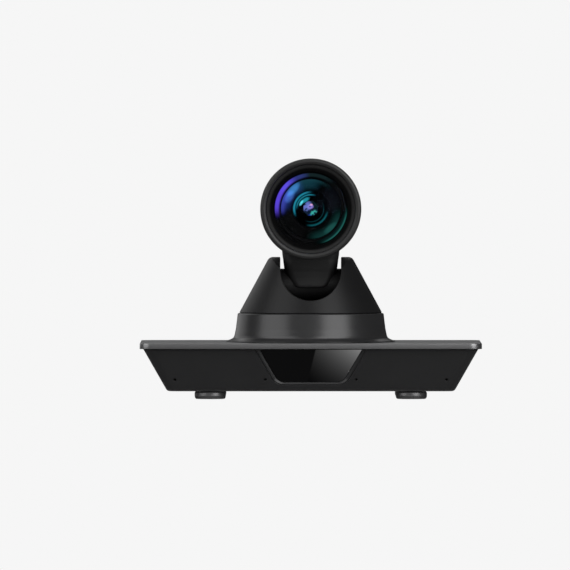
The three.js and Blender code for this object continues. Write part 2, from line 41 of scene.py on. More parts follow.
# ------------------------------------------------------------------ node materials
class Mat:
    """A material whose coordinates are millimetres in the row frame."""
    def __init__(self, name):
        self.m = bpy.data.materials.new(name); self.m.use_nodes = True
        self.t = self.m.node_tree; self.t.nodes.clear()
        self.out = self.t.nodes.new("ShaderNodeOutputMaterial")
        c = self.t.nodes.new("ShaderNodeTexCoord")
        v = self.t.nodes.new("ShaderNodeVectorMath"); v.operation = "SCALE"; v.inputs["Scale"].default_value = 1000
        self.link(c.outputs["Object"], v.inputs[0]); self.mm = v.outputs[0]
    def link(self, a, b): self.t.links.new(a, b)
    def put(self, sock, val):
        if isinstance(val, bpy.types.NodeSocket): self.link(val, sock)
        else: sock.default_value = val
    def math(self, op, a, b=0.0, c=None, clamp=False):
        n = self.t.nodes.new("ShaderNodeMath"); n.operation = op; n.use_clamp = clamp
        self.put(n.inputs[0], a); self.put(n.inputs[1], b)
        if c is not None: self.put(n.inputs[2], c)
        return n.outputs[0]
    def step(self, x, lo, hi, to0=0.0, to1=1.0):
        n = self.t.nodes.new("ShaderNodeMapRange"); n.interpolation_type = "SMOOTHSTEP"
        for k, v in zip(("Value", "From Min", "From Max", "To Min", "To Max"), (x, lo, hi, to0, to1)): self.put(n.inputs[k], v)
        return n.outputs[0]
    def stretch(self, sx, sy, sz):
        n = self.t.nodes.new("ShaderNodeVectorMath"); n.operation = "MULTIPLY"
        self.link(self.mm, n.inputs[0]); n.inputs[1].default_value = (sx, sy, sz); return n.outputs[0]
    def noise(self, size, detail=2.0, rough=0.5, vec=None):
        n = self.t.nodes.new("ShaderNodeTexNoise"); n.inputs["Scale"].default_value = 1 / size
        n.inputs["Detail"].default_value = detail; n.inputs["Roughness"].default_value = rough
        self.link(vec or self.mm, n.inputs["Vector"]); return n.outputs["Fac"]
    def voronoi(self, size, feature="F1", vec=None, out="Distance"):
        n = self.t.nodes.new("ShaderNodeTexVoronoi"); n.feature = feature; n.inputs["Scale"].default_value = 1 / size
        self.link(vec or self.mm, n.inputs["Vector"]); return n.outputs[out]
    def mix(self, f, a, b):
        n = self.t.nodes.new("ShaderNodeMix"); n.data_type = "RGBA"
        self.put(n.inputs[0], f); self.put(n.inputs[6], a if isinstance(a, bpy.types.NodeSocket) else (*a, 1)); self.put(n.inputs[7], b if isinstance(b, bpy.types.NodeSocket) else (*b, 1))
        return n.outputs[2]
    def edges(self, radius=0.5):
        b = self.t.nodes.new("ShaderNodeBevel"); b.samples = 4; b.inputs["Radius"].default_value = radius * MM
        g = self.t.nodes.new("ShaderNodeNewGeometry"); d = self.t.nodes.new("ShaderNodeVectorMath"); d.operation = "DOT_PRODUCT"
        self.link(b.outputs[0], d.inputs[0]); self.link(g.outputs["Normal"], d.inputs[1])
        self.soft = b.outputs[0]
        return self.step(d.outputs["Value"], 0.995, 0.80)
    def bump(self, height, depth, strength=1.0, normal=None):
        n = self.t.nodes.new("ShaderNodeBump"); n.inputs["Distance"].default_value = depth * MM; n.inputs["Strength"].default_value = strength
        self.link(height, n.inputs["Height"])
        if normal is not None: self.link(normal, n.inputs["Normal"])
        return n.outputs[0]
    def principled(self, color, rough, metal=0.0, normal=None, spec=0.5, coat=0.0, coat_rough=0.1, aniso=0.0):
        p = self.t.nodes.new("ShaderNodeBsdfPrincipled")
        self.put(p.inputs["Base Color"], color if isinstance(color, bpy.types.NodeSocket) else (*color, 1))
        self.put(p.inputs["Roughness"], rough); self.put(p.inputs["Metallic"], metal)
        p.inputs["Specular IOR Level"].default_value = spec; p.inputs["Coat Weight"].default_value = coat
        p.inputs["Coat Roughness"].default_value = coat_rough; p.inputs["Anisotropic"].default_value = aniso
        if normal is not None: self.link(normal, p.inputs["Normal"])
        self.p = p
        return p.outputs[0]
    def done(self, shader): self.link(shader, self.out.inputs["Surface"]); return self.m
    # polar coordinates round the lens axis, in mm
    def polar(self):
        s = self.t.nodes.new("ShaderNodeSeparateXYZ"); self.link(self.mm, s.inputs[0])
        z = self.math("SUBTRACT", s.outputs[2], LENS_Z); x = s.outputs[0]
        self.px, self.pz = x, z
        self.r = self.math("SQRT", self.math("ADD", self.math("MULTIPLY", x, x), self.math("MULTIPLY", z, z)))
    def ring(self, r0, r1, soft0, soft1=None):
        soft1 = soft0 if soft1 is None else soft1
        return self.math("MULTIPLY", self.step(self.r, r0 - soft0, r0 + soft0), self.step(self.r, r1 + soft1, r1 - soft1))
    def fan(self, deg, full, fade):
        d = self.math("ADD", self.math("MULTIPLY", self.px, cos(rad(deg))), self.math("MULTIPLY", self.pz, sin(rad(deg))))
        return self.step(self.math("DIVIDE", d, self.math("MAXIMUM", self.r, 0.01)), cos(rad(fade)), cos(rad(full)))
    def spot(self, deg, r, along, across, turn=0.0):
        """A soft oval at polar place (deg, r); along is its half length round the axis."""
        cx, cz = r * cos(rad(deg)), r * sin(rad(deg)); a = rad(deg + 90 + turn)
        dx, dz = self.math("SUBTRACT", self.px, cx), self.math("SUBTRACT", self.pz, cz)
        u = self.math("ADD", self.math("MULTIPLY", dx, cos(a) / along), self.math("MULTIPLY", dz, sin(a) / along))
        v = self.math("ADD", self.math("MULTIPLY", dx, -sin(a) / across), self.math("MULTIPLY", dz, cos(a) / across))
        return self.step(self.math("ADD", self.math("MULTIPLY", u, u), self.math("MULTIPLY", v, v)), 1.0, 0.0)

def lin(*c):
    return tuple((v / 255 / 12.92) if v / 255 <= 0.04045 else ((v / 255 + 0.055) / 1.055) ** 2.4 for v in c)

def plastic(name, albedo, rough, grain=0.35, depth=0.012, spec=0.5, edge=0.5, edge_highlight=1.6, coat=0.0):
    m = Mat(name); e = m.edges(edge)
    fine = m.voronoi(grain, "SMOOTH_F1"); cloud = m.noise(14, 3); mid = m.noise(1.7, 4, 0.6)
    tone = m.math("ADD", m.math("MULTIPLY", cloud, 0.16), m.math("MULTIPLY", mid, 0.12))
    c = m.mix(tone, tuple(a * 0.86 for a in albedo), tuple(min(1, a * 1.42) for a in albedo))
    # rounded edges lighter in noise patches: a painted edge highlight
    c = m.mix(m.math("MULTIPLY", e, m.step(mid, 0.35, 0.62)), c, tuple(min(1, a * edge_highlight + 0.006) for a in albedo))
    r = m.math("ADD", rough - 0.06, m.math("ADD", m.math("MULTIPLY", cloud, 0.07), m.math("MULTIPLY", mid, 0.05)))
    r = m.math("SUBTRACT", r, m.math("MULTIPLY", e, 0.08))
    return m.done(m.principled(c, r, 0.0, m.bump(fine, depth, 0.6, m.soft), spec, coat))

def metal(name, color, rough, size=0.25, axis=(0.03, 1, 1), depth=0.004, edge=0.4, metallic=1.0, vary=0.12, aniso=0.0, spec=0.5):
    m = Mat(name); e = m.edges(edge); lines = m.noise(size, 3, 0.6, m.stretch(*axis)); cloud = m.noise(9, 3)
    c = m.mix(m.math("ADD", m.math("MULTIPLY", lines, 0.5), m.math("MULTIPLY", cloud, 0.5)), tuple(v * (1 - vary) for v in color), tuple(min(1, v * (1 + vary)) for v in color))
    # rounded edges lighter: a painted edge highlight
    c = m.mix(m.math("MULTIPLY", e, 0.5), c, tuple(min(1, v * 1.35 + 0.02) for v in color))
    r = m.math("ADD", rough - 0.05, m.math("MULTIPLY", m.math("ADD", lines, cloud), 0.05))
    return m.done(m.principled(c, r, metallic, m.bump(lines, depth, 0.5, m.soft), spec, 0.0, 0.1, aniso))

def board(name, ground=(0.030, 0.150, 0.070), track=(0.012, 0.085, 0.040)):
    m = Mat(name); e = m.edges(0.2); s = m.stretch(1, 1, 1)
    tracks = m.step(m.voronoi(3.2, "DISTANCE_TO_EDGE", s), 0.05, 0.10); pads = m.step(m.voronoi(2.1), 0.17, 0.14)
    c = m.mix(tracks, ground, track); c = m.mix(pads, c, (0.55, 0.50, 0.36))
    return m.done(m.principled(c, m.math("ADD", 0.35, m.math("MULTIPLY", m.noise(4), 0.15)), m.math("MULTIPLY", pads, 0.9), m.bump(tracks, 0.03, 0.7, m.soft)))

def rubber(name, albedo=(0.03, 0.03, 0.03), rough=0.42):
    m = Mat(name); e = m.edges(0.3); n = m.noise(0.5, 4, 0.7); dust = m.noise(5, 4)
    c = m.mix(m.step(dust, 0.4, 0.75), albedo, tuple(a * 1.5 + 0.004 for a in albedo))
    return m.done(m.principled(c, m.math("ADD", rough - 0.04, m.math("MULTIPLY", dust, 0.1)), 0.0, m.bump(n, 0.02, 0.5, m.soft)))

MATS = {
    "housing": plastic("housing_texture", (0.027, 0.027, 0.028), 0.50, 0.32),
    "yoke": plastic("yoke_texture", (0.0115, 0.0115, 0.012), 0.41, 0.30, 0.010, 0.24),
    "neck": plastic("neck_texture", (0.0185, 0.0185, 0.019), 0.47, 0.30, 0.012, 0.42),
    "head": plastic("head_texture", (0.024, 0.024, 0.025), 0.46, 0.30),
    "ring": plastic("ring_satin", (0.029, 0.029, 0.029), 0.45, 0.22, 0.006, 0.4),
    "baffle": plastic("baffle_black", (0.010, 0.010, 0.010), 0.55, 0.20, 0.008, 0.4),
    "inner": plastic("inner_black", (0.0015, 0.0017, 0.002), 0.60, 0.25, 0.008, 0.06, edge_highlight=1.2),
    "moulded": plastic("moulded_black", (0.018, 0.018, 0.018), 0.42, 0.28),
    "rocker": plastic("rocker_black", (0.014, 0.014, 0.014), 0.25, 0.4, 0.004),
    "green": plastic("terminal_green", (0.020, 0.190, 0.060), 0.40, 0.5, 0.008),
    "white": plastic("dial_white", (0.62, 0.61, 0.57), 0.45, 0.4, 0.006, edge_highlight=1.1),
    "panel": plastic("panel_powder", (0.022, 0.022, 0.022), 0.50, 0.55, 0.030),
    "collar": metal("collar_satin", (0.029, 0.029, 0.030), 0.31, 0.5, (0.4, 0.4, 2.5), 0.002, 0.15, 0.22, 0.08, 0.0, 0.72),
    "plate": metal("plate_satin", (0.29, 0.29, 0.293), 0.34, 0.22, (0.02, 1, 1), 0.002, 0.15, 0.9, 0.10),
    "bezel": plastic("bezel_satin", (0.027, 0.027, 0.028), 0.40, 0.3, 0.005),
    "steel": metal("brushed_steel", (0.60, 0.61, 0.62), 0.28),
    "shell": metal("plated_shell", (0.66, 0.67, 0.68), 0.22, 0.3, (1, 0.05, 1)),
    "can": metal("motor_can", (0.45, 0.46, 0.47), 0.33, 0.3, (1, 1, 0.05)),
    "anodised": metal("black_anodised", (0.012, 0.012, 0.013), 0.45, 0.3, (1, 1, 0.2), 0.002, 0.2, 0.4),
    "alu": metal("turned_aluminium", (0.62, 0.63, 0.64), 0.30, 0.25, (1, 1, 0.2)),
    "brass": metal("turned_brass", (0.62, 0.44, 0.18), 0.26, 0.25, (0.6, 0.6, 1)),
    "gold": metal("contact_gold", (0.80, 0.58, 0.24), 0.20, 0.3, (1, 0.2, 1)),
    "board": board("circuit_board"), "mic_board": board("black_board", (0.012, 0.012, 0.012), (0.006, 0.006, 0.006)), "foot": metal("foot_satin", (0.24, 0.24, 0.242), 0.38, 0.5, (0.5, 0.5, 1.6), 0.001, 0.2, 0.75, 0.08), "belt": rubber("belt_rubber", (0.018, 0.018, 0.018), 0.6),
}
def baffle():
    m = Mat("baffle_ridged"); m.polar(); e = m.edges(0.08); fine = m.voronoi(0.22, "SMOOTH_F1"); mid = m.noise(1.5, 4, 0.6)
    # ridges inside radius about 29 mm, deeper in the bore, are painted near-black as shade; the edges of the outer
    # ridges carry a painted highlight in noise patches
    outer = m.step(m.r, 28.1, 29.8); c = m.mix(outer, (0.0004, 0.0004, 0.0005), (0.034, 0.034, 0.034))
    c = m.mix(m.math("MULTIPLY", m.math("MULTIPLY", e, mid), outer), c, (0.085, 0.085, 0.085))
    s = m.principled(c, m.math("ADD", 0.46, m.math("MULTIPLY", mid, 0.1)), 0.0, m.bump(fine, 0.006, 0.6, m.soft), 0.09)
    return m.done(s)
MATS["baffle"] = baffle()
def gloss_window():
    m = Mat("window_gloss"); smear = m.noise(22, 4, 0.6); dust = m.noise(0.6, 2)
    c = m.mix(smear, (0.0010, 0.0010, 0.0012), (0.0024, 0.0024, 0.0028))
    r = m.math("ADD", 0.018, m.math("ADD", m.math("MULTIPLY", m.step(smear, 0.45, 0.75), 0.025), m.math("MULTIPLY", m.step(dust, 0.70, 0.80), 0.03)))
    return m.done(m.principled(c, r, 0.0, m.bump(smear, 0.01, 0.2), 0.5))
MATS["window"] = gloss_window()

def glass_with_painted_reflections(name, paint, clear=0.0, rough=0.035, tint=(0.45, 0.62, 1.0), gloss=0.55):
    """Coated glass: clear where nothing shows on it, with a glossy skin and soft coloured patches of painted coating
    reflection that glow through emission.
    """
    m = Mat(name); m.polar(); total = None; cover = None
    for col, mask, amount in paint(m):
        v = m.t.nodes.new("ShaderNodeVectorMath"); v.operation = "SCALE"; v.inputs[0].default_value = col
        m.put(v.inputs["Scale"], m.math("MULTIPLY", mask, amount))
        if total is None: total, cover = v.outputs[0], mask
        else:
            a = m.t.nodes.new("ShaderNodeVectorMath"); a.operation = "ADD"; m.link(total, a.inputs[0]); m.link(v.outputs[0], a.inputs[1]); total = a.outputs[0]
            cover = m.math("MAXIMUM", cover, mask)
    # painted coating reflections: the patch colours glow as emission over the clear glass where they cover it
    swirl = m.noise(6, 3); em = m.t.nodes.new("ShaderNodeEmission")
    wobble = m.t.nodes.new("ShaderNodeVectorMath"); wobble.operation = "SCALE"; m.link(total, wobble.inputs[0])
    m.put(wobble.inputs["Scale"], m.math("ADD", 0.86, m.math("MULTIPLY", swirl, 0.28))); m.link(wobble.outputs[0], em.inputs["Color"])
    tr = m.t.nodes.new("ShaderNodeBsdfTransparent"); tr.inputs["Color"].default_value = (1, 1, 1, 1)
    gl = m.t.nodes.new("ShaderNodeBsdfGlossy"); gl.inputs["Color"].default_value = (*tint, 1); gl.inputs["Roughness"].default_value = rough
    fr = m.t.nodes.new("ShaderNodeFresnel"); fr.inputs["IOR"].default_value = 1.38
    base = m.t.nodes.new("ShaderNodeMixShader"); m.put(base.inputs[0], m.math("MULTIPLY", fr.outputs[0], gloss)); m.link(tr.outputs[0], base.inputs[1]); m.link(gl.outputs[0], base.inputs[2])
    top = m.t.nodes.new("ShaderNodeMixShader"); m.put(top.inputs[0], m.math("MULTIPLY", cover, 0.92, clamp=True)); m.link(base.outputs[0], top.inputs[1]); m.link(em.outputs[0], top.inputs[2])
    return m.done(top.outputs[0])

# ------------------------------------------------------------------ mesh helpers (millimetres)
def make(name, bm):
    bmesh.ops.recalc_face_normals(bm, faces=bm.faces)
    me = bpy.data.meshes.new(name); bm.to_mesh(me); bm.free()
    me.transform(Matrix.Scale(MM, 4))
    o = bpy.data.objects.new(name, me); bpy.context.scene.collection.objects.link(o); return o

def fillet(points, closed=False, n=6):
    """points are (x, y) or (x, y, radius): corners with a radius become arcs."""
    out, N = [], len(points)
    for i, p in enumerate(points):
        if len(p) == 2 or p[2] <= 0 or (not closed and i in (0, N - 1)): out.append((p[0], p[1])); continue
        a, b, c = Vector(points[i - 1][:2]), Vector(p[:2]), Vector(points[(i + 1) % N][:2])
        u, v = (a - b).normalized(), (c - b).normalized(); half = u.angle(v) / 2
        t = min(p[2] / math.tan(half), (a - b).length * 0.49, (c - b).length * 0.49); r = t * math.tan(half)
        o = b + (u + v).normalized() * (r / sin(half)); s, e = b + u * t - o, b + v * t - o
        ang = math.atan2(s.x * e.y - s.y * e.x, s.dot(e))
        for k in range(n + 1):
            q = ang * k / n; out.append((o.x + s.x * cos(q) - s.y * sin(q), o.y + s.x * sin(q) + s.y * cos(q)))
    return out

def lathe(profile, axis="z", at=(0, 0, 0), seg=160, n=6):
    pts = fillet(profile, closed=profile[0][0] != 0, n=n); bm = bmesh.new(); rings = []
    def place(r, h, a):
        c, s = r * cos(a), r * sin(a)
        v = {"z": (c, s, h), "y": (c, h, s), "x": (h, c, s)}[axis]
        return bm.verts.new([v[i] + at[i] for i in range(3)])
    for r, h in pts: rings.append([place(0, h, 0)] if r < 1e-6 else [place(r, h, 2 * pi * k / seg) for k in range(seg)])
    pairs = list(zip(rings, rings[1:])) + ([(rings[-1], rings[0])] if profile[0][0] != 0 else [])
    for a, b in pairs:
        for k in range(seg):
            j = (k + 1) % seg
            f = [a[0], b[k], b[j]] if len(a) == 1 else [a[k], b[0], a[j]] if len(b) == 1 else [a[k], b[k], b[j], a[j]]
            if len(a) == len(b) == 1: continue
            bm.faces.new(f)
    return bm

def stack(levels, seg=12):
    bm = bmesh.new(); rings = []
    for z, hx, y0, y1, r in levels:
        ring, hy, cy = [], (y1 - y0) / 2, (y1 + y0) / 2
        for sx, sy, a0 in ((1, 1, 0), (-1, 1, 90), (-1, -1, 180), (1, -1, 270)):
            for i in range(seg + 1):
                a = rad(a0 + 90 * i / seg); ring.append(bm.verts.new((sx * (hx - r) + r * cos(a), cy + sy * (hy - r) + r * sin(a), z)))
        rings.append(ring)
    for a, b in zip(rings, rings[1:]):
        for k in range(len(a)): j = (k + 1) % len(a); bm.faces.new((a[k], a[j], b[j], b[k]))
    bm.faces.new(rings[0][::-1]); bm.faces.new(rings[-1]); return bm

def prism(outline, lo, hi, axis="z", bevel=0.0, at=(0, 0, 0), segs=3):
    """A flat outline pulled along an axis: z takes (x, y), y takes (x, z), x takes (y, z)."""
    bm = bmesh.new(); put = {"z": lambda u, v, w: (u, v, w), "y": lambda u, v, w: (u, w, v), "x": lambda u, v, w: (w, u, v)}[axis]
    a = [bm.verts.new([q + s for q, s in zip(put(u, v, lo), at)]) for u, v in outline]; b = [bm.verts.new([q + s for q, s in zip(put(u, v, hi), at)]) for u, v in outline]
    for k in range(len(a)): j = (k + 1) % len(a); bm.faces.new((a[k], a[j], b[j], b[k]))
    bm.faces.new(a[::-1]); bm.faces.new(b)
    bmesh.ops.recalc_face_normals(bm, faces=bm.faces)
    if bevel:
        e = [x for x in bm.edges if len(x.link_faces) == 2 and x.calc_face_angle() > rad(30)]
        bmesh.ops.bevel(bm, geom=e, offset=bevel, segments=segs, profile=0.5, affect="EDGES", clamp_overlap=True)
    return bm
def block(x0, x1, y0, y1, z0, z1, bevel=0.3, segs=3):
    return prism([(x0, y0), (x1, y0), (x1, y1), (x0, y1)], z0, z1, "z", bevel, segs=segs)

def shaped(op, target, *others):
    """Booleans, in the order given, on finished objects; the cutters are used up."""
    for c in others:
        m = target.modifiers.new("b", "BOOLEAN"); m.operation, m.object, m.solver = op, c, "EXACT"
        dg = bpy.context.evaluated_depsgraph_get(); dg.update()
        me = bpy.data.meshes.new_from_object(target.evaluated_get(dg), depsgraph=dg)
        target.modifiers.clear(); target.data = me; bpy.data.objects.remove(c, do_unlink=True)
    return target

def finish_piece(o, mat, body, swap=(), angle=32):
    o.data.materials.clear(); o.data.materials.append(MATS[mat] if isinstance(mat, str) else mat)
    for p in o.data.polygons: p.use_smooth = True
    o.data.set_sharp_from_angle(angle=rad(angle))
    if swap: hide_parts(*([swap] if isinstance(swap, str) else swap))
    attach(o, body); return o
def piece(name, bm, mat, body, swap=(), angle=32): return finish_piece(make(name, bm), mat, body, swap, angle)
tmp = lambda bm: make("cutter", bm)

# ------------------------------------------------------------------ base
BZ0, BZ1 = 5.6, 35.1
def side(z, lo, hi, r=3.0):
    """Half width of the housing at height z, with the bottom edge rounded."""
    k = (hi - lo) / (BZ1 - BZ0); a = math.atan(k); t = r * math.tan((pi / 2 - a) / 2); cz = BZ0 + r
    if z >= BZ0 + r * (1 - sin(a)): return lo + k * (z - BZ0)
    return lo - t + sqrt(max(0, r * r - (z - cz) ** 2))
zs = [BZ0 + d for d in (0, 0.05, 0.15, 0.3, 0.5, 0.75, 1.0, 1.3, 1.6, 1.9, 2.2, 2.6, 3.2)] + [BZ1 - 0.4, BZ1]
body = make("housing", stack([(z, side(z, 100.7, 117.4), -side(z, 59, 69.4), side(z, 59, 69.4), 5.5 + 2.5 * (z - BZ0) / 29.5) for z in zs], 16))
inner = tmp(stack([(z, side(z, 100.7, 117.4, 0.1) - 2.7, -side(z, 59, 69.4, 0.1) + 2.7, side(z, 59, 69.4, 0.1) - 2.7, 4) for z in (8.2, 20, 36)], 8))
bay_wall = tmp(block(-92.5, 92.5, 56.2, 66, 8.0, 34.9, 0))
shaped("DIFFERENCE", body, inner)
rim = make("rim", stack([(z, side(z, 100.7, 117.4) - 0.6, -side(z, 59, 69.4) + 0.6, side(z, 59, 69.4) - 0.6, 5) for z in (7.4, 35.0)], 10))
shaped("INTERSECT", rim, bay_wall); shaped("UNION", body, rim)
TILT = math.atan((69.4 - 59) / (BZ1 - BZ0)); FACE_L = (BZ1 - BZ0) / cos(TILT)
face = Matrix.Translation((0, -59, BZ0)) @ Matrix.Rotation(TILT, 4, "X")
def window(top, bottom, low, r, high):
    k = (top - bottom) / (FACE_L - low); x = bottom + k * (high - low)
    return fillet([(-x, high), (-bottom, low, r), (bottom, low, r), (x, high)], True, 10)
def on_face(bm): bmesh.ops.transform(bm, matrix=face, verts=bm.verts); return bm
cutters = [tmp(on_face(prism(window(39.4, 24.8, 4.9, 9.2, FACE_L + 6), -4, 8, "y"))), tmp(block(-90, 90, 50, 90, 10.4, 40, 0)),
           tmp(lathe([(0, 0), (8.3, 0), (8.3, 12), (0, 12)], "z", seg=64)), tmp(lathe([(0, 0), (4.4, 0), (4.4, 12), (0, 12)], "z", (45, -25, 0), 48))]
cutters += [tmp(lathe([(0, -80), (0.95, -80), (0.95, -40), (0, -40)], "y", (x, 0, 13.9), 20)) for x in (-95.3, -31.9, 31.9, 95.3)]
cutters += [tmp(lathe([(0, 0), (3, 0), (3, 12), (0, 12)], "z", (x, y, 0), 32)) for x, y in ((-88, -46), (88, -46), (-88, 42), (88, 42))]
shaped("DIFFERENCE", body, *cutters)
finish_piece(body, "housing", "base", "base_housing")

def plate_levels():
    out = []
    for k in range(7): a = rad(90 * k / 6); out.append((35.4 + 0.3 * (1 - cos(a)), 0.3 * (1 - sin(a))))
    for k in range(7): a = rad(90 * k / 6); out.append((39.4 - 0.5 * (1 - sin(a)), 0.5 * (1 - cos(a))))
    return [(z, 120 - i, -72 + i, 72 - i, 8.5 - i) for z, i in out]
plate = make("top_plate_body", stack(plate_levels(), 20))
shaped("DIFFERENCE", plate, tmp(lathe([(0, 30), (8, 30), (8, 45), (0, 45)], "z", seg=48)), tmp(lathe([(0, 30), (11.6, 30), (11.6, 45), (0, 45)], "z", (-32, 0, 0), 48)))
finish_piece(plate, "plate", "base", "top_plate")

# infrared window: a glossy pane in a sloped frame
clip = lambda: tmp(block(-130, 130, -90, -40, -5, BZ1 - 0.1, 0))
frame_o = make("window_frame", on_face(prism(window(39.1, 24.5, 5.2, 8.8, FACE_L + 3), 0.05, 2.4, "y")))
def funnel(a, b):  # cut narrower at the back than at the front
    bm = bmesh.new(); A = [bm.verts.new((x, -0.6, z)) for x, z in a]; B = [bm.verts.new((x, 1.1, z)) for x, z in b]
    C = [bm.verts.new((x, 6, z)) for x, z in b]
    for P, Q in ((A, B), (B, C)):
        for k in range(len(P)): j = (k + 1) % len(P); bm.faces.new((P[k], P[j], Q[j], Q[k]))
    bm.faces.new(A[::-1]); bm.faces.new(C); return bm
shaped("DIFFERENCE", frame_o, tmp(on_face(funnel(window(39.5, 25.0, 4.8, 9.2, FACE_L + 6), window(36.3, 22.7, 6.5, 7.3, FACE_L + 6)))))
shaped("INTERSECT", frame_o, clip()); finish_piece(frame_o, "bezel", "base", "ir_window_bezel")
pane = make("window_pane", on_face(prism(window(35.9, 22.4, 6.8, 7.0, FACE_L + 3), 0.7, 2.4, "y"))); shaped("INTERSECT", pane, clip())
finish_piece(pane, "window", "base", "ir_window")

for i, (sx, sy) in enumerate(((-1, -1), (1, -1), (-1, 1), (1, 1)), 1):
    piece(f"foot_pad_{i}", lathe([(0, 0.35), (7.8, 0.35), (8.2, 0, 0.3), (10.5, 0, 1.7), (11.0, 2.3, 1.6), (11.0, 4.4, 0.4), (10.4, 5.25, 0.3), (0, 5.25)], "z", (sx * 70.6, sy * 44, 0), 96), "foot", "base", f"foot_{i}")
for i, (x, y) in enumerate(((-88, -46), (88, -46), (-88, 42), (88, 42)), 1):
    s = make(f"base_screw_{i}", lathe([(0, 6.3), (2.0, 6.3, 0.5), (2.6, 7.0, 0.3), (2.6, 8.2, 0.1), (1.3, 8.2), (1.3, 11.0, 0.2), (0, 11.0)], "z", (x, y, 0), 40))
    shaped("DIFFERENCE", s, tmp(block(x - 1.5, x + 1.5, y - 0.3, y + 0.3, 6, 7.3, 0)), tmp(block(x - 0.3, x + 0.3, y - 1.5, y + 1.5, 6, 7.3, 0)))
    finish_piece(s, "steel", "base", ())

# contacts and screws inside the rear sockets
def merged(*parts):
    out = bmesh.new()
    for b in parts: me = bpy.data.meshes.new("part"); b.to_mesh(me); b.free(); out.from_mesh(me); bpy.data.meshes.remove(me)
    return out
SOCK = 56.6
def strip(x, hx, y0, y1, z0, z1): return block(x - hx, x + hx, y0, y1, z0, z1, 0.04, 1)
piece("lan_contacts", merged(*[strip(19 - 3.57 + 1.02 * k, 0.22, 44.6, 54.5, 16.0, 16.35) for k in range(8)]), "gold", "base", ())
piece("hdmi_contacts", merged(*[strip(-3 - 4.5 + 1.0 * k, 0.24, 47.5, 55.3, 18.62, 18.72) for k in range(10)]), "gold", "base", ())
piece("usb_contacts", merged(*[strip(-23 + d, 0.6, 46.5, 55.2, 18.12, 18.28) for d in (-3.5, -1.2, 1.2, 3.5)]), "gold", "base", ())
piece("serial_contacts", merged(*[lathe([(0, 51.2), (0.32, 51.2), (0.32, 55.6, 0.2), (0, 55.8)], "y", (-42 + 2.9 * cos(rad(a)), 0, 21 + 2.9 * sin(rad(a))), 14) for a in (-20, 30, 90, 150, 200, 235, 270, 305)]), "gold", "base", ())
piece("terminal_screws", merged(*[lathe([(0, 50), (1.35, 50), (1.35, SOCK + 0.15, 0.2), (0.45, SOCK + 0.15, 0.05), (0.4, SOCK - 0.3), (0, SOCK - 0.3)], "y", (-76 + d, 0, 21.2), 28) for d in (-6, -2, 2, 6)]), "steel", "base", ())
piece("audio_sleeve", lathe([(1.85, 48), (3.1, 48), (3.1, SOCK + 0.3, 0.2), (1.85, SOCK + 0.3, 0.25)], "y", (-58, 0, 19.5), 40), "shell", "base", ())

# ------------------------------------------------------------------ collar and yoke
piece("collar_shell", lathe([(59.55, 39.72, 0.1), (59.6, 40.1, 0.25), (56.9, 41.0, 2.0), (54.5, 42.2, 2.0), (53.7, 44.0, 3), (52.75, 48.6, 6), (52.0, 54.5, 6), (51.5, 59.0, 0.3), (50.9, 59.6, 0.1), (47.2, 59.6), (47.2, 56.6), (50, 50), (50, 39.72)], "z", seg=256, n=8), "collar", "base", "pan_collar", 40)

Y0, Y1, YR0, YR1 = 60.2, 99.2, 50.2, 28.95
cone = lambda z: YR0 + (YR1 - YR0) * (z - Y0) / (Y1 - Y0)
yoke = make("yoke_cover", lathe([(0, 59.85), (YR0 - 0.35, 59.85, 0.3), (cone(60.35), 60.35, 0.5), (cone(98.9), 99.2, 4.4), (0, 99.2)], "z", seg=288, n=10))
R, c0 = 45, Y1 - 45; arc = [(R * cos(rad(t)), c0 + R * sin(rad(t))) for t in [38 + 104 * k / 80 for k in range(81)]]
e0 = arc[0]; crown = [(70, 50), (70, e0[1])] + arc + [(-70, e0[1]), (-70, 50)]
shaped("INTERSECT", yoke, tmp(prism(crown, -70, 70, "x")))
hollow = make("hollow", lathe([(0, 50), (cone(50) - 2.5, 50), (cone(96) - 2.5, 96), (0, 96)], "z", seg=96))
low = [(y, z - 3) for y, z in crown]; low[0], low[-1] = (70, 40), (-70, 40)
shaped("INTERSECT", hollow, tmp(prism(low, -70, 70, "x")))
shaped("DIFFERENCE", hollow, tmp(block(-23.6, 23.6, -70, 16.8, 66.2, 110, 0)), tmp(block(-23.6, 23.6, 10, 70, 80.6, 110, 0)))
u = [(-21.4, 120)] + [(21.4 * cos(t), 90.2 + 21.4 * sin(t)) for t in [pi + pi * k / 96 for k in range(97)]] + [(21.4, 120)]
def lip(deg):  # one facet of the rounded inner top edges of the arms
    px, pz, k = 22.5 - 1.1 * cos(rad(deg)), 98.2 + 1.1 * sin(rad(deg)), math.tan(rad(deg)); a, b = px - (pz - 96) * k, px + (104 - pz) * k
    return tmp(prism([(-a, 96), (a, 96), (b, 104), (-b, 104)], -70, 70, "y"))
shaped("DIFFERENCE", yoke, hollow, tmp(prism(u, -70, 0.05, "y")), tmp(block(-21.4, 21.4, -12.2, 14.6, TILT_Z - 11.6, 120, 0)), tmp(block(-21.4, 21.4, 10, 70, 82.8, 120, 0)),
       tmp(lathe([(0, -22.4), (11.5, -22.4), (11.5, 22.4), (0, 22.4)], "x", (0, 0, TILT_Z), 128)), tmp(lathe([(0, -24.5), (3.6, -24.5), (3.6, 24.5), (0, 24.5)], "x", (0, 0, TILT_Z), 48)), lip(20), lip(45), lip(70))
finish_piece(yoke, "yoke", "yoke", "yoke_shell", 30)

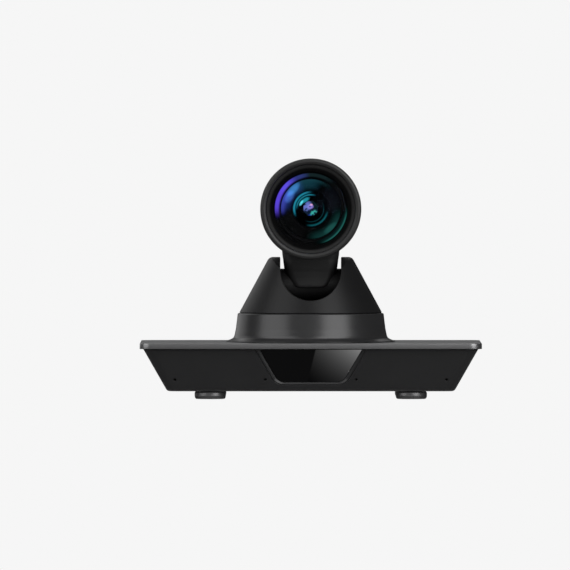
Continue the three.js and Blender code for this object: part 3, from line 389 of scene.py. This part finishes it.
# ------------------------------------------------------------------ neck and head
def spline(rows, z):
    for a, b in zip(rows, rows[1:]):
        if a[0] <= z <= b[0]:
            t = (z - a[0]) / (b[0] - a[0]); t = t * t * (3 - 2 * t) * 0.25 + t * 0.75
            return [p + (q - p) * t for p, q in zip(a, b)]
rows = [(77.6, 10.4, -11.7, 9.6, 5.2), (77.75, 11.3, -12.1, 9.8, 5.5), (78.2, 12.5, -12.4, 10, 6), (79.2, 13.8, -12.5, 10.2, 6.2), (80.8, 15.1, -12.3, 10.4, 6.4), (82.6, 16.1, -12.15, 10.4, 6.5), (84.6, 16.9, -12.1, 10.4, 6.5),
        (88.6, 18.1, -12.3, 10.5, 6.5), (92, 18.8, -12.8, 10.8, 7), (97, 19.4, -13.5, 11.6, 7.5), (101, 20.0, -14.4, 12.6, 8), (106, 20.4, -16, 14.4, 8), (112, 20.6, -18.5, 17, 8)]
neck = make("neck_body", stack([(z, *spline(rows, z)[1:]) for z in [min(112, 77.6 + 34.4 * (k / 80) ** 1.6) for k in range(81)]], 14))
drum = tmp(lathe([(0, -22), (11, -22, 0.5), (11, 22, 0.5), (0, 22)], "x", (0, 0, TILT_Z), 128))
shaped("UNION", neck, drum)
shaped("DIFFERENCE", neck, tmp(lathe([(0, -60), (34.6, -60), (34.6, 60), (0, 60)], "y", (0, 0, LENS_Z), 192)), tmp(stack([(74, 8, -5.5, 5.5, 3), (120, 12, -8, 8, 3)], 6)),
       tmp(lathe([(0, -30), (3.3, -30), (3.3, -14), (0, -14)], "x", (0, 0, TILT_Z), 32)), tmp(lathe([(0, 14), (3.3, 14), (3.3, 30), (0, 30)], "x", (0, 0, TILT_Z), 32)))
finish_piece(neck, "neck", "head", "neck_housing", 38)
lz = (0, 0, LENS_Z)
barrel = make("head_shell", lathe([(33.6, -45.1), (33.6, -43.4), (34.3, -43.4, 0.3), (34.3, -41.4, 0.2), (33.9, -41.2, 0.1), (33.9, -40.6, 0.1), (34.3, -40.4, 0.2), (34.3, 12, 0.4), (33.5, 12), (33.5, 13.7), (32, 13.7), (32, -45.1)], "y", lz, 224))
shaped("DIFFERENCE", barrel, tmp(block(-9, 9, -6, 6, 90, 112, 0)))
finish_piece(barrel, "head", "head", "head_barrel")
def dome(r, y0, y1, n=28): return [(0 if k == n else r * cos(pi / 2 * k / n) ** (2 / 2.25), y0 + (y1 - y0) * sin(pi / 2 * k / n) ** (2 / 2.25)) for k in range(n + 1)]
piece("head_cap", lathe(dome(32, 14.1, 39.7)[::-1] + [(33.8, 14.1), (33.8, 12.3)] + dome(34.3, 12.3, 42), "y", lz, 224), "head", "head", "head_rear_cover")
piece("lens_ring_front", lathe([(35.5, -43.7, 0.3), (35.5, -50.1, 0.9), (34.7, -51.6, 0.9), (33.3, -52.0, 0.9), (31.9, -51.5, 0.5), (31.3, -50.6, 0.2), (31.3, -45.4), (33.9, -45.4), (33.9, -43.7)], "y", lz, 256, 8), "ring", "head", "lens_ring", 50)
ridges = [(31.0, -43.7), (31.0, -50.5, 0.1)]
for k in range(9):
    r0, y0 = 30.7 - k * 0.49, -50.4 + k * 0.43; ridges += [(r0, y0, 0.05), (r0 - 0.10, y0 + 0.50, 0.05), (r0 - 0.39, y0 + 0.42, 0.05)]
piece("baffle_steps", lathe(ridges + [(26.3, -46.3), (26.3, -43.7)], "y", lz, 256, 2), "baffle", "head", "baffle_ring", 25)

# glass and what shows through it; the coloured coating reflections on each lens are painted patches that glow
front_reflection_paint = lambda m: [
    (lin(90, 68, 214), m.math("MULTIPLY", m.ring(22.2, 25.3, 1.1, 0.4), m.fan(156, 8, 44)), 1.0),
    (lin(46, 52, 128), m.math("MULTIPLY", m.ring(22.3, 25.2, 1.0, 0.4), m.fan(124, 8, 34)), 0.8),
    (lin(30, 88, 82), m.math("MULTIPLY", m.ring(24.5, 25.6, 0.8, 0.3), m.fan(-34, 14, 42)), 0.95),
    (lin(16, 42, 42), m.math("MULTIPLY", m.ring(22.4, 25.3, 0.8, 0.3), m.fan(-42, 14, 46)), 0.5),
    (lin(24, 40, 42), m.math("MULTIPLY", m.ring(22.6, 25.2, 0.9, 0.4), m.fan(84, 14, 42)), 0.75)]
second_reflection_paint = lambda m: [
    (lin(34, 52, 118), m.math("MULTIPLY", m.ring(14.5, 20.9, 3.6, 0.3), m.fan(148, 8, 46)), 0.8),
    (lin(18, 58, 70), m.math("MULTIPLY", m.ring(14.0, 20.9, 3.4, 0.3), m.fan(108, 12, 50)), 0.75),
    (lin(54, 56, 150), m.math("MULTIPLY", m.ring(18.0, 21.0, 1.8, 0.2), m.fan(166, 8, 32)), 0.7),
    (lin(62, 134, 194), m.spot(132, 18.3, 7.4, 3.2, 6), 0.62),
    (lin(72, 116, 204), m.spot(150, 17.2, 5.8, 3.6), 0.5),
    (lin(14, 40, 42), m.math("MULTIPLY", m.ring(18.6, 21.0, 1.8, 0.3), m.fan(84, 14, 46)), 0.6),
    (lin(20, 58, 56), m.math("MULTIPLY", m.ring(16.6, 21.1, 3.6, 0.25), m.fan(-48, 14, 58)), 0.72),
    (lin(32, 88, 82), m.spot(-44, 19.2, 7.0, 2.8, -6), 0.45)]
zoom_reflection_paint = lambda m: [
    (lin(34, 140, 166), m.math("MULTIPLY", m.ring(10.9, 12.4, 0.7, 0.2), m.fan(146, 28, 70)), 0.9),
    (lin(14, 80, 88), m.math("MULTIPLY", m.ring(11.0, 12.4, 0.7, 0.2), m.fan(-56, 26, 56)), 0.9),
    (lin(28, 128, 150), m.math("MULTIPLY", m.ring(9.4, 10.3, 0.5, 0.25), m.fan(126, 30, 66)), 0.9),
    (lin(12, 62, 68), m.math("MULTIPLY", m.ring(8.9, 9.5, 0.5, 0.2), m.fan(-44, 40, 84)), 0.7),
    (lin(92, 212, 226), m.spot(149, 7.8, 3.0, 1.3), 0.95),
    (lin(36, 150, 168), m.spot(122, 7.2, 4.4, 2.0), 0.85)]
def disc(rim_r, crown_y, rim_y, n=14): return [(rim_r * k / n, crown_y + (rim_y - crown_y) * (k / n) ** 2) for k in range(n + 1)]
piece("front_glass", lathe(disc(25.9, -50.3, -45.4) + disc(25.9, -47.0, -44.3)[::-1], "y", lz, 192), glass_with_painted_reflections("front_painted_reflections", front_reflection_paint, gloss=0.05), "head", "front_element", 60)
piece("second_glass", lathe(disc(21.0, -41.6, -38.1) + disc(21.0, -39.0, -36.9)[::-1], "y", lz, 160), glass_with_painted_reflections("second_painted_reflections", second_reflection_paint, gloss=0.08), "head", "second_element", 60)
piece("retainer_ring", lathe([(24, -43, 0.3), (24, -36), (21.4, -36), (21.4, -42.2, 0.2), (22.1, -43, 0.3)], "y", lz, 160), "inner", "head", "lens_retainer")
piece("zoom_holder", lathe([(23.9, -31, 0.4), (23.9, -21, 0.4), (12.9, -21), (12.9, -29.4, 0.1), (13.6, -30.0, 0.1), (20.5, -31, 0.4)], "y", lz, 144), "inner", "zoom_group", "zoom_cell")
piece("zoom_glass", lathe(disc(12.6, -29.6, -26.6) + disc(12.6, -23.2, -24.6)[::-1], "y", lz, 128), glass_with_painted_reflections("zoom_painted_reflections", zoom_reflection_paint, gloss=0.10), "zoom_group", "zoom_lens", 60)

iris = make("iris_blades", lathe([(0, 0), (24, 0), (24, 2), (0, 2)], "y", lz, 96))
shaped("DIFFERENCE", iris, tmp(prism([(5.5 * cos(rad(22.5 + 45 * k)), 5.5 * sin(rad(22.5 + 45 * k))) for k in range(8)], -4, 4, "y", at=lz)))
finish_piece(iris, "inner", "head", "iris_plate")

def pupil_painted_reflections():
    # the iris opening's coloured facet reflections are painted spots that glow as emission
    m = Mat("rear_group_painted_reflections"); m.polar()
    cells = m.voronoi(1.5, "F1", m.stretch(1, 0, 1), "Color"); sep = m.t.nodes.new("ShaderNodeSeparateColor"); m.link(cells, sep.inputs[0])
    col = m.mix(m.spot(150, 3.2, 5, 4.2), (0.002, 0.010, 0.012), lin(96, 110, 186))
    col = m.mix(m.spot(95, 1.2, 2.6, 2.0), col, lin(138, 126, 214)); col = m.mix(m.spot(80, 2.6, 1.3, 0.9), col, lin(214, 160, 200))
    col = m.mix(m.spot(-92, 5.4, 2.4, 1.8), col, lin(30, 50, 140)); col = m.mix(m.spot(-58, 4.0, 3.2, 2.6), col, lin(54, 164, 154))
    dark = m.mix(m.step(sep.outputs[0], 0.62, 0.86), col, (0.004, 0.010, 0.030))
    lit = m.mix(m.math("MULTIPLY", m.step(m.r, 5.6, 5.0), 0.98), (0.001, 0.004, 0.005), dark)
    s = m.principled((0.004, 0.006, 0.008), m.math("ADD", 0.08, m.math("MULTIPLY", sep.outputs[1], 0.1)), 0.0)
    m.link(lit, m.p.inputs["Emission Color"]); m.p.inputs["Emission Strength"].default_value = 1.15
    return m.done(s)
piece("focus_cell", lathe([(0, 6.4), (4, 6.6), (8, 7.4), (8, 5.6), (23.9, 5.6, 0.3), (23.9, 10.6, 0.3), (8, 10.6), (8, 10), (0, 10.4)], "y", lz, 128), pupil_painted_reflections(), "focus", "focus_group")

# ------------------------------------------------------------------ carried-over CAD nodes
KEEP = {"steel": ["upright_left", "upright_right", "pan_bearing_lower", "pan_bearing_upper", "tilt_bearing_left", "tilt_bearing_right", "tilt_shaft_left", "tilt_shaft_right"],
        "can": ["pan_motor", "tilt_motor"], "alu": ["pan_post"], "anodised": ["turntable"], "brass": ["tripod_insert", "pan_motor_pulley", "tilt_motor_pulley"], "belt": ["pan_belt", "tilt_belt"],
        "mic_board": ["mic_board"], "board": ["main_board", "sensor_board"], "moulded": ["ir_receiver", "address_switch", "serial_port", "audio_jack", "dc_jack", "switch_frame", "pan_pulley", "tilt_pulley"],
        "panel": ["rear_panel"], "shell": ["lan_port", "hdmi_port", "usb_port"], "green": ["terminal_block", "status_led"], "white": ["address_dial"], "rocker": ["power_rocker"], "inner": ["lens_barrel"]}
for key, names in KEEP.items():
    for n in names:
        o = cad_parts[n]
        for s in (o.material_slots or []): s.material = MATS[key]

# ------------------------------------------------------------------ stage, light, camera
def only_camera(tree, bright, other):
    lp = tree.nodes.new("ShaderNodeLightPath"); mx = tree.nodes.new("ShaderNodeMixShader")
    tree.links.new(lp.outputs["Is Camera Ray"], mx.inputs[0]); tree.links.new(other, mx.inputs[1]); tree.links.new(bright, mx.inputs[2]); return mx.outputs[0]
PALE = lin(246, 246, 246)
w = bpy.data.worlds.new("studio"); bpy.context.scene.world = w; w.use_nodes = True; w.node_tree.nodes.clear()
wo = w.node_tree.nodes.new("ShaderNodeOutputWorld"); b1 = w.node_tree.nodes.new("ShaderNodeBackground"); b2 = w.node_tree.nodes.new("ShaderNodeBackground")
b1.inputs[0].default_value = (*PALE, 1); b2.inputs[0].default_value = (1, 1, 1, 1); b2.inputs[1].default_value = 0.035
w.node_tree.links.new(only_camera(w.node_tree, b1.outputs[0], b2.outputs[0]), wo.inputs[0])

fm = bpy.data.materials.new("studio_floor"); fm.use_nodes = True; ft = fm.node_tree; ft.nodes.clear(); fo = ft.nodes.new("ShaderNodeOutputMaterial")
em = ft.nodes.new("ShaderNodeEmission"); em.inputs[0].default_value = (*PALE, 1)
df = ft.nodes.new("ShaderNodeBsdfDiffuse"); df.inputs[0].default_value = (0.06, 0.06, 0.06, 1)
fg, fb, fx = ft.nodes.new("ShaderNodeNewGeometry"), ft.nodes.new("ShaderNodeBsdfTransparent"), ft.nodes.new("ShaderNodeMixShader")
ft.links.new(fg.outputs["Backfacing"], fx.inputs[0]); ft.links.new(only_camera(ft, em.outputs[0], df.outputs[0]), fx.inputs[1]); ft.links.new(fb.outputs[0], fx.inputs[2]); ft.links.new(fx.outputs[0], fo.inputs[0])
bm = bmesh.new(); bmesh.ops.create_grid(bm, x_segments=8, y_segments=8, size=1500); floor = make("floor", bm); floor.location.z = -0.0002
floor.data.materials.append(fm); floor.visible_shadow = False

def area(name, az, el, dist, w_, h_, radiance, aim=(0, 0, 0.08)):
    """A soft box seen from the object at azimuth az (0 is the camera's side, + to its right)."""
    l = bpy.data.lights.new(name, "AREA"); l.shape, l.size, l.size_y = "RECTANGLE", w_, h_; l.energy = radiance * pi * w_ * h_
    o = bpy.data.objects.new(name, l); bpy.context.scene.collection.objects.link(o); a, e = rad(az), rad(el)
    o.location = Vector(aim) + dist * Vector((sin(a) * cos(e), -cos(a) * cos(e), sin(e)))
    o.rotation_euler = (Vector(aim) - o.location).to_track_quat("-Z", "Y").to_euler(); o.visible_camera = False; return o
area("strip_left", -60, 24, 1.4, 1.25, 2.0, 1.65)
area("strip_right", 40, 24, 1.4, 1.05, 2.0, 2.75)
area("edge_left", -140, 14, 1.5, 1.2, 1.4, 0.6)
area("front_fill", 0, 2, 2.4, 2.2, 2.4, 0.30)
area("top_soft", 0, 80, 1.5, 1.2, 1.2, 0.30)
area("back_soft", 180, 40, 1.8, 1.0, 1.2, 0.8)
area("under_soft", 180, -58, 1.8, 1.4, 1.4, 3.0)

# a low reflector card in front, seen only in the glossy pane
def reflector():
    m = Mat("reflector_gradient"); sp = m.t.nodes.new("ShaderNodeSeparateXYZ"); m.link(m.mm, sp.inputs[0]); x, y = sp.outputs[0], sp.outputs[1]
    up = m.math("DIVIDE", m.math("SUBTRACT", -55.07, y), 1.5595)                 # height on the pane that mirrors this line
    a = m.math("SUBTRACT", x, 3.27); b = m.math("SUBTRACT", 33.45, up)
    v = m.math("ADD", m.math("ADD", 45.0, m.math("MULTIPLY", a, 2.305)), m.math("SUBTRACT", m.math("MULTIPLY", b, -1.636), m.math("MULTIPLY", m.math("MULTIPLY", a, b), 0.0506)))
    side = m.math("ADD", a, m.math("MULTIPLY", b, 0.25)); lit = m.step(side, -0.70, 0.28)
    v = m.math("ADD", m.math("MULTIPLY", m.math("MAXIMUM", v, 0.0), lit), m.math("MULTIPLY", m.math("SUBTRACT", 1.0, lit), 10.5))
    power = m.math("POWER", m.math("DIVIDE", m.math("ADD", v, 14.0), 269.0), 2.4)
    e = m.t.nodes.new("ShaderNodeEmission"); m.link(m.math("MULTIPLY", power, 25.0), e.inputs["Strength"]); return m.done(e.outputs[0])
card = make("reflector_card", prism([(-44, -118), (44, -118), (44, -70), (-44, -70)], 0.8, 0.9)); card.data.materials.append(reflector())
card.visible_camera = card.visible_diffuse = card.visible_shadow = card.visible_transmission = card.visible_volume_scatter = False
only = bpy.data.collections.new("pane_only"); only.objects.link(pane); card.light_linking.receiver_collection = only

cam = bpy.data.cameras.new("camera"); co = bpy.data.objects.new("camera", cam); bpy.context.scene.collection.objects.link(co); bpy.context.scene.camera = co
D, el = 12.0, rad(0.8); aim = Vector((-0.0181, 0, 0.0794))
cam.sensor_width = 36; cam.lens = 36 * D / 0.4018; cam.clip_start, cam.clip_end = 0.1, 100
co.location = aim + D * Vector((0, -cos(el), sin(el))); co.rotation_euler = (aim - co.location).to_track_quat("-Z", "Y").to_euler()
bpy.context.scene.view_settings.view_transform = "Standard"
